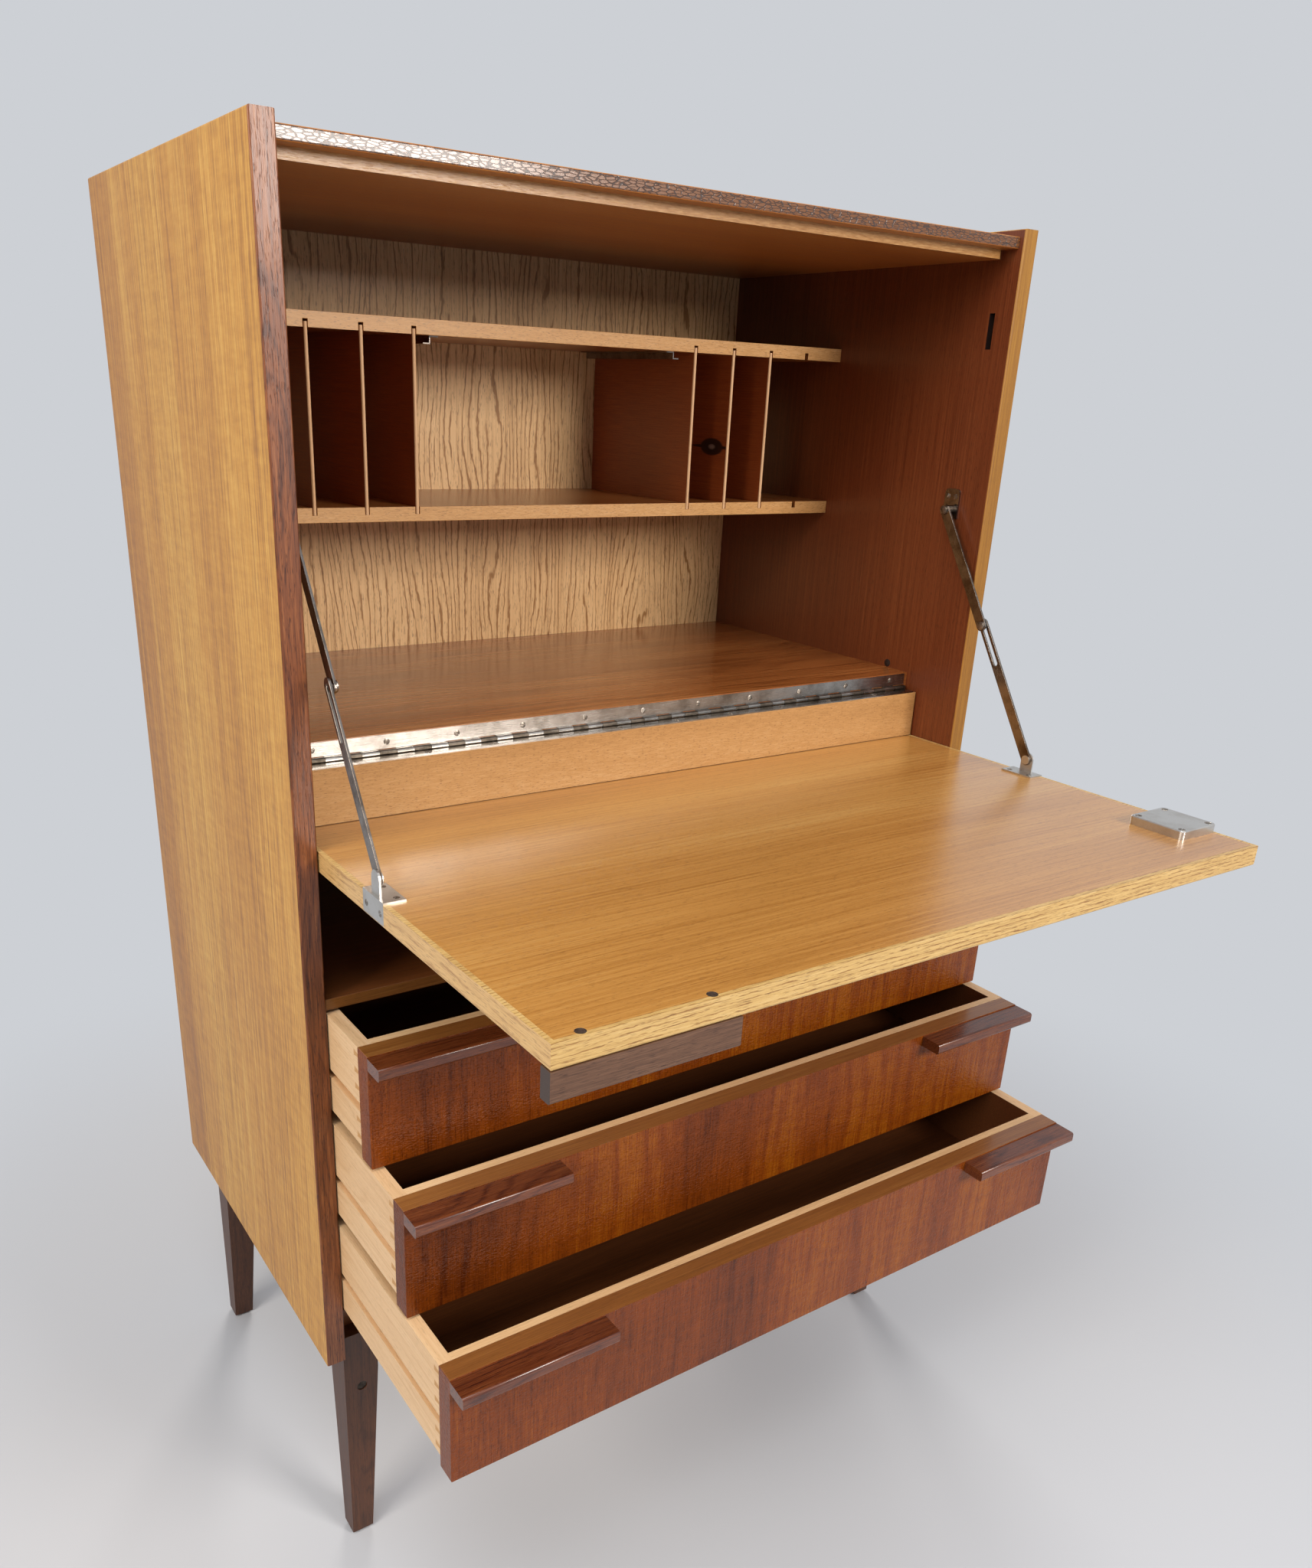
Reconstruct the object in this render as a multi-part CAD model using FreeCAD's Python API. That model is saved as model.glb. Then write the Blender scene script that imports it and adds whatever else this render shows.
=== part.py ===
import FreeCAD, Part
import math
import os

V = FreeCAD.Vector

# Drop-front writing cabinet on four tapered legs, with the flap down and three drawers drawn out.
# Millimetres. X runs to the right, Y to the back, Z up from the floor. The origin lies on the
# floor below the middle of the whole piece.

# Case
case_width = 750.0
case_depth = 428.0
side_height = 1000.0
side_thick = 18.0
side_round = 1.5
floor_gap = 233.0
back_thick = 8.0

# Top board with its rebate for the closed flap
top_drop = 6.5
top_setback = 5.5
top_thick = 18.0
top_lip = 10.0
stop_clear = 0.6
stop_thick = 3.0
stop_short = 5.0

# Pigeonhole shelves and dividers
shelf_thick = 13.0
shelf_setback = 232.0
upper_bay_height = 77.5
pigeonhole_height = 146.5
divider_thick = 4.0
divider_pitch = 50.0
divider_count = 3
groove_depth = 6.5
groove_play = 0.2
tray_rail_offset = 20.0
tray_rail_setback = 11.0
tray_rail_back_gap = 12.0
tray_rail_drop = 7.0
tray_rail_lip = 6.0
tray_rail_flange = 9.0
tray_rail_gauge = 1.0

# Desk shelf, dust board and bottom board
desk_height = 571.0
desk_thick = 17.0
desk_setback = 75.7
dust_height = 364.0
dust_thick = 10.0
dust_setback = 4.0
bottom_height = 18.0
bottom_thick = 18.0
bottom_setback = 24.0

# Long hinge between desk shelf and riser
pin_radius = 1.25
pin_play = 0.05
knuckle_radius = 2.5
leaf_thick = 1.2
leaf_clear = 0.3
leaf_margin = 0.6
knuckle_count = 44
hinge_end_gap = 5.0
knuckle_gap = 0.3
knuckle_sides = 12
bore_sides = 6
pin_lift = 1.5

# Flap with its riser and edging
flap_thick = 18.5
flap_gap = 1.0
flap_top_gap = 3.1
flap_swing_gap = 3.4
edging_width = 4.0
edging_round = 2.5
riser_height = 48.2
riser_thick = 18.0
riser_gap = 2.0
riser_back_gap = 0.3

# Strip handles of the flap and the drawers
handle_length = 141.0
handle_reach = 22.0
handle_thick = 11.0
handle_round = 2.5
handle_step = 1.0
handle_screw_first = 23.0
handle_screw_spacing = 96.0
handle_screw_count = 2
screw_radius = 1.9
screw_head_radius = 3.8
screw_head_depth = 2.2
screw_bite = 14.0
screw_play = 0.1
screw_sides = 12

# Surface lock and its bolt
lock_width = 50.0
lock_depth = 54.0
lock_thick = 8.0
lock_round = 4.0
lock_edge_bevel = 0.8
lock_setback = 40.0
lock_edge_gap = 1.0
bolt_width = 22.0
bolt_thick = 4.0
bolt_length = 24.0
bolt_throw = 9.0
bolt_lift = 2.2
bolt_play = 0.3
mortise_margin = 1.2
mortise_spare = 5.0

# Folding stays
wall_pivot_setback = 44.0
wall_pivot_rise = 175.0
foot_pivot_reach = 104.0
foot_pivot_lift = 13.5
upper_arm_length = 127.0
arm_width = 11.0
arm_thick = 2.0
arm_gap = 1.6
arm_overrun = 7.0
stay_sides = 16
slot_length = 46.0
slot_width = 4.6
stud_radius = 2.5
stud_play = 0.08
stud_head_radius = 4.6
stud_head_thick = 1.4
foot_head_thick = 0.9
rivet_radius = 2.0
rivet_clear = 0.2
wall_plate_width = 19.0
wall_plate_above = 21.0
wall_plate_below = 8.0
wall_plate_thick = 2.0
wall_plate_round = 4.5
wall_washer = 3.0
foot_plate_length = 36.0
foot_plate_margin = 2.0
foot_plate_thick = 1.5
foot_tab_width = 18.0
foot_ear_width = 14.0
foot_ear_thick = 1.6

# Drawers
drawer_top_gap = 2.5
drawer_between = 2.5
drawer_floor_gap = 10.0
drawer_closed = 3.0
drawer_names = ("top_drawer", "middle_drawer", "bottom_drawer")
drawer_out = (83.0, 143.0, 219.0)
drawer_gap = 1.0
drawer_back_gap = 19.0
drawer_front_thick = 19.0
drawer_core_thick = 8.0
drawer_side_thick = 12.0
drawer_side_drop = 12.0
drawer_back_thick = 10.0
drawer_bottom_thick = 4.0
drawer_bottom_lift = 8.0
drawer_groove_depth = 5.0
dovetail_count = 6
dovetail_tip = 3.0
dovetail_root = 5.4
runner_lift = 44.0
runner_height = 8.5
runner_groove = 6.0
runner_play = 0.3
runner_setback = 26.0
runner_back_gap = 22.0

# Legs and base rails
leg_top = 34.0
leg_foot = 21.0
leg_straight = 48.0
leg_chamfer = 3.0
leg_front_setback = 7.6
leg_back_setback = 28.0
rail_thick = 20.0
rail_drop = 55.0
bolt_hole_drop = 46.0
leg_bolt_radius = 3.0
leg_bolt_head_radius = 5.0
leg_bolt_head = 2.5
leg_bolt_sink = 1.0
leg_bolt_bite = 30.0
leg_bolt_sides = 12

# Distance below which two points count as the same
tiny = 0.01

# Places that follow from the sizes
half_width = case_width / 2
inner_half = half_width - side_thick
leaf_seat = knuckle_radius + leaf_clear
pin_setback = desk_setback - leaf_seat
pin_height = desk_height - desk_thick + pin_lift
flap_above_pin = side_height - top_drop - top_lip - flap_top_gap - pin_height
flap_swing = pin_height - dust_height - dust_thick - flap_swing_gap
flap_below_pin = math.sqrt(flap_swing ** 2 - (leaf_seat + riser_height + flap_thick) ** 2)
flap_reach = flap_above_pin - pin_setback
front = (flap_reach - case_depth) / 2
base = floor_gap
back_face = front + case_depth - back_thick
desk_top = base + desk_height
pin_y = front + pin_setback
pin_z = desk_top - desk_thick + pin_lift
flap_inner = pin_z - leaf_seat - riser_height
flap_under = flap_inner - flap_thick
flap_half = inner_half - flap_gap
flap_front = pin_y - flap_above_pin
flap_back = pin_y + flap_below_pin
top_top = base + side_height - top_drop
top_under = top_top - top_thick
lip_under = top_top - top_lip
upper_under = top_under - upper_bay_height - shelf_thick
lower_under = upper_under - pigeonhole_height - shelf_thick
shelf_front = front + shelf_setback
hinge_half = inner_half - hinge_end_gap
knuckle_pitch = 2 * hinge_half / knuckle_count


def block(x0, x1, y0, y1, z0, z1):
    return Part.makeBox(x1 - x0, y1 - y0, z1 - z0, V(x0, y0, z0))


def prism_x(points, x0, x1):
    """Closed outline in Y and Z, carried along X."""
    wire = Part.makePolygon([V(x0, y, z) for y, z in points + points[:1]])
    return Part.Face(wire).extrude(V(x1 - x0, 0, 0))


def prism_y(points, y0, y1):
    """Closed outline in X and Z, carried along Y."""
    wire = Part.makePolygon([V(x, y0, z) for x, z in points + points[:1]])
    return Part.Face(wire).extrude(V(0, y1 - y0, 0))


def prism_z(points, z0, z1):
    """Closed outline in X and Y, carried along Z."""
    wire = Part.makePolygon([V(x, y, z0) for x, y in points + points[:1]])
    return Part.Face(wire).extrude(V(0, 0, z1 - z0))


def rod_x(radius, x0, x1, y, z):
    return Part.makeCylinder(radius, x1 - x0, V(x0, y, z), V(1, 0, 0))


def many_sided(radius, sides, a, b):
    """Outline with flat sides about a point, its corners on the radius."""
    turns = [2 * math.pi * (i + 0.5) / sides for i in range(sides)]
    return [(a + radius * math.cos(t), b + radius * math.sin(t)) for t in turns]


def facet_rod_x(radius, sides, x0, x1, y, z):
    """Rod along X with flat sides."""
    return prism_x(many_sided(radius, sides, y, z), x0, x1)


def mirrored(shape):
    return shape.mirror(V(0, 0, 0), V(1, 0, 0))


def edges_along(shape, axis, test):
    """Straight edges that run along one axis and whose middle passes the test."""
    chosen = []
    for edge in shape.Edges:
        a = edge.Vertexes[0].Point
        b = edge.Vertexes[-1].Point
        run = b - a
        if abs(run.dot(axis)) > run.Length - tiny:
            if test((a + b) * 0.5):
                chosen.append(edge)
    return chosen


def near(a, b):
    return abs(a - b) < tiny


def closed_place(y, z):
    """Where a point of the open flap lies once the flap is shut."""
    return pin_y + (z - pin_z), pin_z - (y - pin_y)


def save(name, shapes):
    parts = shapes if isinstance(shapes, list) else [shapes]
    shape = parts[0] if len(parts) == 1 else Part.makeCompound(parts)
    shape.exportStep("parts/" + name + ".step")


os.makedirs("parts", exist_ok=True)

X_AXIS = V(1, 0, 0)
Y_AXIS = V(0, 1, 0)
Z_AXIS = V(0, 0, 1)

# Side panels run the full height, with the mortise for the lock's bolt in the right one.
side = block(inner_half, half_width, front, front + case_depth, base, base + side_height)
side_edges = edges_along(side, Y_AXIS, lambda m: near(m.z, base + side_height))
side_edges += edges_along(side, Z_AXIS, lambda m: near(m.y, front))
side = side.makeFillet(side_round, side_edges)
save("side_panel_left", mirrored(side))

bolt_mid = flap_front + lock_setback + lock_depth / 2
bolt_z0 = flap_inner + bolt_lift
mortise_y0, mortise_z1 = closed_place(bolt_mid - bolt_width / 2, bolt_z0)
mortise_y1, mortise_z0 = closed_place(bolt_mid + bolt_width / 2, bolt_z0 + bolt_thick)
mortise = block(
    inner_half, inner_half + bolt_throw + mortise_margin,
    mortise_y0 - mortise_margin, mortise_y1 + mortise_margin,
    mortise_z0 - mortise_spare, mortise_z1 + mortise_spare,
)
save("side_panel_right", side.cut(mortise))

# Top board: a thin lip in front, a rebate under it that takes the flap's upper edge.
stop_front = pin_y - leaf_seat - riser_height + stop_clear
stop_back = stop_front + stop_thick
top_outline = [
    (front + top_setback, top_top), (back_face, top_top), (back_face, top_under),
    (stop_back, top_under), (stop_back, lip_under), (front + top_setback, lip_under),
]
top = prism_x(top_outline, -inner_half, inner_half)
top_edges = edges_along(top, X_AXIS, lambda m: near(m.y, front + top_setback))
save("top_board", top.makeFillet(side_round, top_edges))
save("flap_stop", block(
    -inner_half, inner_half - stop_short, stop_front, stop_back, top_under, lip_under))

# Back panel between the sides, behind every board.
save("back_panel", block(
    -inner_half, inner_half, back_face, front + case_depth, base + bottom_height, top_top))

# Desk shelf, dust board over the drawers, and bottom board.
save("desk_shelf", block(
    -inner_half, inner_half, front + desk_setback, back_face, desk_top - desk_thick, desk_top))
save("dust_board", block(
    -inner_half, inner_half, front + dust_setback, back_face,
    base + dust_height, base + dust_height + dust_thick))
bottom_under = base + bottom_height
save("bottom_board", block(
    -inner_half, inner_half, front + bottom_setback, back_face,
    bottom_under, bottom_under + bottom_thick))

# Pigeonhole shelves with a row of grooves at each end, the outermost one left empty.
groove_wide = divider_thick + 2 * groove_play
groove_places = [inner_half - divider_pitch * (i + 1) for i in range(divider_count + 1)]
upper = block(-inner_half, inner_half, shelf_front, back_face, upper_under, upper_under + shelf_thick)
lower_top = lower_under + shelf_thick
lower = block(-inner_half, inner_half, shelf_front, back_face, lower_under, lower_top)
for place in groove_places:
    for x in (-place, place):
        x0 = x - groove_wide / 2
        x1 = x + groove_wide / 2
        upper = upper.cut(block(x0, x1, shelf_front, back_face, upper_under, upper_under + groove_depth))
        lower = lower.cut(block(x0, x1, shelf_front, back_face, lower_top - groove_depth, lower_top))
save("upper_shelf", upper)
save("lower_shelf", lower)

divider_z0 = lower_top - groove_depth
divider_z1 = upper_under + groove_depth - groove_play
dividers = []
for place in groove_places[1:]:
    dividers.append(block(
        place - divider_thick / 2, place + divider_thick / 2, shelf_front, back_face,
        divider_z0, divider_z1))
save("dividers_right", dividers)
save("dividers_left", [mirrored(d) for d in dividers])

# Hooked rails for a pull-out tray under the upper shelf, lips turned outwards.
rail_x = groove_places[-1] - tray_rail_offset
rail_y0 = shelf_front + tray_rail_setback
rail_y1 = back_face - tray_rail_back_gap
rail_z0 = upper_under - tray_rail_drop
flange = block(
    rail_x - tray_rail_flange, rail_x, rail_y0, rail_y1, upper_under - tray_rail_gauge, upper_under)
web = block(rail_x - tray_rail_gauge, rail_x, rail_y0, rail_y1, rail_z0, upper_under)
lip = block(
    rail_x - tray_rail_gauge, rail_x + tray_rail_lip, rail_y0, rail_y1, rail_z0, rail_z0 + tray_rail_gauge)
tray_rail = flange.fuse(web).fuse(lip).removeSplitter()
save("tray_rails", [tray_rail, mirrored(tray_rail)])

# Long hinge. Knuckles of the two leaves alternate along one pin. They are small and many, so they
# have flat sides, and the bore's flats clear the pin.
def leaf_slots(first):
    return [-hinge_half + i * knuckle_pitch for i in range(first, knuckle_count, 2)]


def knuckles(first):
    rings = []
    for x in leaf_slots(first):
        x0 = x + knuckle_gap / 2
        x1 = x + knuckle_pitch - knuckle_gap / 2
        rings.append(facet_rod_x(knuckle_radius, knuckle_sides, x0, x1, pin_y, pin_z))
    return rings


bore_radius = (pin_radius + pin_play) / math.cos(math.pi / bore_sides)
bore = facet_rod_x(bore_radius, bore_sides, -hinge_half, hinge_half, pin_y, pin_z)
relief = knuckle_radius + knuckle_gap

shelf_leaf = block(
    -hinge_half, hinge_half, pin_y + leaf_seat - leaf_thick, pin_y + leaf_seat,
    pin_z, desk_top - leaf_margin)
shelf_leaf = shelf_leaf.cut(Part.makeCompound([
    block(x - knuckle_gap / 2, x + knuckle_pitch + knuckle_gap / 2,
          pin_y, pin_y + leaf_seat + leaf_thick, pin_z - relief, pin_z + relief)
    for x in leaf_slots(1)]))
shelf_leaf = shelf_leaf.fuse(knuckles(0)).cut(bore)
save("hinge_leaf_shelf", shelf_leaf)

riser_front = pin_y + leaf_seat - riser_back_gap - riser_thick
riser_leaf = block(
    -hinge_half, hinge_half, riser_front + leaf_margin, pin_y,
    pin_z - leaf_seat, pin_z - leaf_seat + leaf_thick)
riser_leaf = riser_leaf.cut(Part.makeCompound([
    block(x - knuckle_gap / 2, x + knuckle_pitch + knuckle_gap / 2,
          pin_y - relief, pin_y + relief, pin_z - leaf_seat - leaf_thick, pin_z)
    for x in leaf_slots(0)]))
riser_leaf = riser_leaf.fuse(knuckles(1)).cut(bore)
save("hinge_leaf_riser", riser_leaf)
save("hinge_pin", rod_x(pin_radius, -hinge_half, hinge_half, pin_y, pin_z))

# Flap: a veneered board in solid edging mitred at the corners, hung from its riser.
core_half = flap_half - edging_width
core = block(
    -core_half, core_half, flap_front + edging_width, flap_back - edging_width, flap_under, flap_inner)
corners = [
    (-flap_half, flap_front), (flap_half, flap_front), (flap_half, flap_back), (-flap_half, flap_back),
]
inner_corners = [
    (-core_half, flap_front + edging_width), (core_half, flap_front + edging_width),
    (core_half, flap_back - edging_width), (-core_half, flap_back - edging_width),
]
edging = []
for i in range(len(corners)):
    j = (i + 1) % len(corners)
    outline = [corners[i], corners[j], inner_corners[j], inner_corners[i]]
    strip = prism_z(outline, flap_under, flap_inner)
    run = V(corners[j][0] - corners[i][0], corners[j][1] - corners[i][1], 0).normalize()
    middle = V((corners[i][0] + corners[j][0]) / 2, (corners[i][1] + corners[j][1]) / 2, flap_under)
    arris = edges_along(strip, run, lambda m: (m - middle).Length < tiny)
    edging.append(strip.makeFillet(edging_round, arris))

foot_y = front - foot_pivot_reach
foot_z = flap_inner + foot_pivot_lift
foot_plate_drop = flap_thick - foot_plate_margin
foot_recess = block(
    flap_half - foot_plate_thick, flap_half, foot_y - foot_plate_length / 2,
    foot_y + foot_plate_length / 2, flap_inner - foot_plate_drop, flap_inner)
edging[1] = edging[1].cut(foot_recess)
edging[3] = edging[3].cut(mirrored(foot_recess))

handle_y0 = flap_front
handle_y1 = flap_front + handle_thick
screw_y = (handle_y0 + handle_y1) / 2
first_screw = -flap_half + handle_screw_first
screw_places = [first_screw + handle_screw_spacing * i for i in range(handle_screw_count)]


def screw(x, grow):
    """Countersunk screw from the flap's inner face, or its hole when grown."""
    levels = ((screw_head_radius, flap_inner), (screw_radius, flap_inner - screw_head_depth))
    rings = []
    for radius, z in levels:
        outline = many_sided(radius + grow, screw_sides, x, screw_y)
        rings.append(Part.makePolygon([V(a, b, z) for a, b in outline + outline[:1]]))
    head = Part.makeLoft(rings, True, True)
    shank = prism_z(
        many_sided(screw_radius + grow, screw_sides, x, screw_y),
        flap_inner - flap_thick - screw_bite - grow, flap_inner)
    return head.fuse(shank).removeSplitter()


holes = Part.makeCompound([screw(x, screw_play) for x in screw_places])
save("flap_board", core.cut(holes))
edging[0] = edging[0].cut(holes)
save("flap_edging", edging)
save("flap_handle_screws", [screw(x, 0.0) for x in screw_places])

flap_handle = block(
    -flap_half, -flap_half + handle_length, handle_y0, handle_y1, flap_under - handle_reach, flap_under)
handle_edges = edges_along(
    flap_handle, X_AXIS, lambda m: near(m.y, handle_y0) and near(m.z, flap_under - handle_reach))
save("flap_handle", flap_handle.makeFillet(handle_round, handle_edges).cut(holes))

riser_half = inner_half - riser_gap
save("flap_riser", block(
    -riser_half, riser_half, riser_front, riser_front + riser_thick, flap_inner, pin_z - leaf_seat))

# Surface lock on the flap, with a channel for the sliding bolt.
lock_x1 = flap_half - lock_edge_gap
lock_x0 = lock_x1 - lock_width
lock_y0 = flap_front + lock_setback
lock_y1 = lock_y0 + lock_depth
lock_top = flap_inner + lock_thick
lock_case = block(lock_x0, lock_x1, lock_y0, lock_y1, flap_inner, lock_top)
lock_case = lock_case.makeFillet(lock_round, edges_along(lock_case, Z_AXIS, lambda m: True))
rim = [e for e in lock_case.Edges if all(near(v.Z, lock_top) for v in e.Vertexes)]
lock_case = lock_case.makeChamfer(lock_edge_bevel, rim)
bolt_x0 = lock_x1 - bolt_length
channel = block(
    bolt_x0 - bolt_play, lock_x1, bolt_mid - bolt_width / 2 - bolt_play,
    bolt_mid + bolt_width / 2 + bolt_play, bolt_z0 - bolt_play, bolt_z0 + bolt_thick + bolt_play)
save("lock_case", lock_case.cut(channel))
save("lock_bolt", block(
    bolt_x0, lock_x1, bolt_mid - bolt_width / 2, bolt_mid + bolt_width / 2,
    bolt_z0, bolt_z0 + bolt_thick))

# Folding stays. Each has a plate on the side panel, an upper arm, a slotted lower arm
# and a foot let into the flap's edge.
wall_y = front + wall_pivot_setback
wall_z = desk_top + wall_pivot_rise
plate_x0 = inner_half - wall_plate_thick
lower_x1 = plate_x0 - wall_washer
lower_x0 = lower_x1 - arm_thick
upper_x1 = lower_x0 - arm_gap
upper_x0 = upper_x1 - arm_thick
stay_run = math.hypot(wall_y - foot_y, wall_z - foot_z)
lower_arm_length = stay_run - upper_arm_length
stay_tilt = math.degrees(math.atan2(foot_z - wall_z, foot_y - wall_y))


def stay_rod(radius, x0, x1, y, z):
    return facet_rod_x(radius, stay_sides, x0, x1, y, z)


def bar(x0, x1, start, end, width):
    """Flat bar with round ends along the stay's line, start and end measured from the wall pivot."""
    half = width / 2
    plank = block(x0, x1, start, end, -half, half)
    ends = [stay_rod(half / math.cos(math.pi / stay_sides), x0, x1, y, 0) for y in (start, end)]
    plank = plank.fuse(ends).removeSplitter()
    plank.rotate(V(0, 0, 0), X_AXIS, stay_tilt)
    plank.translate(V(0, wall_y, wall_z))
    return plank


def stay_point(distance):
    angle = math.radians(stay_tilt)
    return wall_y + distance * math.cos(angle), wall_z + distance * math.sin(angle)


wall_plate = block(
    plate_x0, inner_half, wall_y - wall_plate_width / 2, wall_y + wall_plate_width / 2,
    wall_z - wall_plate_below, wall_z + wall_plate_above)
wall_plate = wall_plate.makeFillet(
    wall_plate_round, edges_along(wall_plate, X_AXIS, lambda m: m.z > wall_z))
shoulder = stay_rod(stud_head_radius, upper_x1 + stud_play, plate_x0, wall_y, wall_z)
wall_stud = stay_rod(stud_radius, upper_x0 - stud_play, plate_x0, wall_y, wall_z)
wall_head = stay_rod(
    stud_head_radius, upper_x0 - stud_play - stud_head_thick, upper_x0 - stud_play, wall_y, wall_z)
wall_bracket = wall_plate.fuse([shoulder, wall_stud, wall_head]).removeSplitter()
save("stay_bracket_right", wall_bracket)
save("stay_bracket_left", mirrored(wall_bracket))

rivet_y, rivet_z = stay_point(upper_arm_length)
upper_arm = bar(upper_x0, upper_x1, 0, upper_arm_length, arm_width)
upper_arm = upper_arm.cut(stay_rod(stud_radius + stud_play, upper_x0, upper_x1, wall_y, wall_z))
rivet_head = stay_rod(stud_head_radius, upper_x0 - stud_head_thick, upper_x0, rivet_y, rivet_z)
rivet_tail = stay_rod(rivet_radius, upper_x1, lower_x0 - rivet_clear, rivet_y, rivet_z)
upper_arm = upper_arm.fuse([rivet_head, rivet_tail]).removeSplitter()
save("stay_upper_right", upper_arm)
save("stay_upper_left", mirrored(upper_arm))

lower_arm = bar(lower_x0, lower_x1, upper_arm_length - arm_overrun + arm_width / 2, stay_run, arm_width)
slot = bar(
    lower_x0, lower_x1, upper_arm_length, upper_arm_length + slot_length - slot_width, slot_width)
lower_arm = lower_arm.cut(slot)
lower_arm = lower_arm.cut(stay_rod(stud_radius + stud_play, lower_x0, lower_x1, foot_y, foot_z))
save("stay_lower_right", lower_arm)
save("stay_lower_left", mirrored(lower_arm))

foot_plate = block(
    flap_half - foot_plate_thick, flap_half, foot_y - foot_plate_length / 2,
    foot_y + foot_plate_length / 2, flap_inner - foot_plate_drop, flap_inner + foot_plate_thick)
foot_tab = block(
    flap_half - foot_tab_width, flap_half, foot_y - foot_plate_length / 2,
    foot_y + foot_plate_length / 2, flap_inner, flap_inner + foot_plate_thick)
ear_x0 = lower_x1 + stud_play
ear_x1 = ear_x0 + foot_ear_thick
ear_half = foot_ear_width / 2
ear = block(ear_x0, ear_x1, foot_y - ear_half, foot_y + ear_half, flap_inner, foot_z)
ear = ear.fuse(stay_rod(ear_half, ear_x0, ear_x1, foot_y, foot_z))
foot_stud = stay_rod(stud_radius, lower_x0 - stud_play, ear_x1, foot_y, foot_z)
foot_head = stay_rod(
    stud_head_radius, lower_x0 - stud_play - foot_head_thick, lower_x0 - stud_play, foot_y, foot_z)
stay_foot = foot_plate.fuse([foot_tab, ear, foot_stud, foot_head]).removeSplitter()
save("stay_foot_right", stay_foot)
save("stay_foot_left", mirrored(stay_foot))

# Drawers: a show front over a dovetailed box that hangs on wooden runners.
drawer_half = inner_half - drawer_gap
drawer_count = len(drawer_names)
drawer_top = dust_height - drawer_top_gap
drawer_floor = bottom_height + bottom_thick + drawer_floor_gap
drawer_pitch = (drawer_top - drawer_floor + drawer_between) / drawer_count
drawer_height = drawer_pitch - drawer_between
drawer_length = case_depth - back_thick - drawer_closed - drawer_back_gap
box_inner = drawer_half - drawer_side_thick
runners = []


def dovetails(y0, z0, z1):
    """Pins of the box front: trapezoids that narrow towards the show front."""
    pins = []
    step = (z1 - z0) / dovetail_count
    for i in range(dovetail_count):
        mid = z0 + step * (i + 0.5)
        tip = dovetail_tip / 2
        root = dovetail_root / 2
        outline = [
            (y0, mid - tip), (y0, mid + tip),
            (y0 + drawer_core_thick, mid + root), (y0 + drawer_core_thick, mid - root),
        ]
        pins.append(prism_x(outline, box_inner, drawer_half))
    return pins


for level, name in enumerate(drawer_names):
    z1 = base + drawer_top - drawer_pitch * level
    z0 = z1 - drawer_height
    face = front + drawer_closed - drawer_out[level]
    back = face + drawer_length
    core_y = face + drawer_front_thick
    side_z0 = z0 + drawer_side_drop
    panel_z0 = side_z0 + drawer_bottom_lift
    panel_z1 = panel_z0 + drawer_bottom_thick
    runner_z0 = z0 + runner_lift

    save(name + "_front", block(-drawer_half, drawer_half, face, core_y, z0, z1))

    grip_z0 = z1 - handle_step - handle_thick
    grip = block(
        drawer_half - handle_length, drawer_half, face - handle_reach, face, grip_z0, z1 - handle_step)
    grip = grip.makeFillet(
        handle_round, edges_along(grip, X_AXIS, lambda m: near(m.y, face - handle_reach)))
    save(name + "_handles", [mirrored(grip), grip])

    panel_half = box_inner + drawer_groove_depth
    panel_y0 = core_y + drawer_core_thick - drawer_groove_depth
    bottom = block(-panel_half, panel_half, panel_y0, back, panel_z0, panel_z1)
    save(name + "_base", bottom)

    groove = block(
        drawer_half - runner_groove, drawer_half, core_y, back, runner_z0, runner_z0 + runner_height)
    pins = [pin.cut(groove) for pin in dovetails(core_y, side_z0, z1)]
    box_front = block(-box_inner, box_inner, core_y, core_y + drawer_core_thick, side_z0, z1)
    box_front = box_front.fuse(pins + [mirrored(p) for p in pins]).cut(bottom).removeSplitter()
    save(name + "_inner_front", box_front)

    board = block(box_inner, drawer_half, core_y, back, side_z0, z1)
    board = board.cut(Part.makeCompound(pins)).cut(groove).cut(bottom)
    save(name + "_side_right", board)
    save(name + "_side_left", mirrored(board))

    save(name + "_back", block(
        -box_inner, box_inner, back - drawer_back_thick, back, panel_z1, z1 - drawer_side_drop))

    runner = block(
        drawer_half - runner_groove + runner_play, inner_half,
        front + runner_setback, back_face - runner_back_gap,
        runner_z0 + runner_play, runner_z0 + runner_height - runner_play)
    runners += [runner, mirrored(runner)]

save("drawer_runners", runners)

# Legs: outer faces upright, inner faces drawn in towards the foot. One leg is drawn with its outer
# front corner at Y zero, then set at the front and, turned about, at the back.
leg_head = bottom_under
leg_break = leg_head - leg_straight
leg_front_y = front + leg_front_setback
leg_back_y = front + case_depth - leg_back_setback
bolt_z = base - bolt_hole_drop
bolt_x = inner_half - leg_top / 2


def at_legs(shape):
    """A piece drawn for a front leg, in its place at the front and at the back."""
    fore = shape.copy()
    fore.translate(V(0, leg_front_y, 0))
    aft = shape.mirror(V(0, 0, 0), Y_AXIS)
    aft.translate(V(0, leg_back_y, 0))
    return fore, aft


def bolt_rod(radius, start, length):
    return prism_y(many_sided(radius, leg_bolt_sides, bolt_x, bolt_z), start, start + length)


taper = [(0.0, leg_head), (leg_top, leg_head), (leg_top, leg_break), (leg_foot, 0.0), (0.0, 0.0)]
leg = prism_x(taper, inner_half - leg_top, inner_half)
leg = leg.common(prism_y([(inner_half - inward, z) for inward, z in taper], 0.0, leg_top))
sole = [e for e in leg.Edges if all(near(v.Z, 0.0) for v in e.Vertexes)]
leg = leg.makeChamfer(leg_chamfer, sole)

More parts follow.
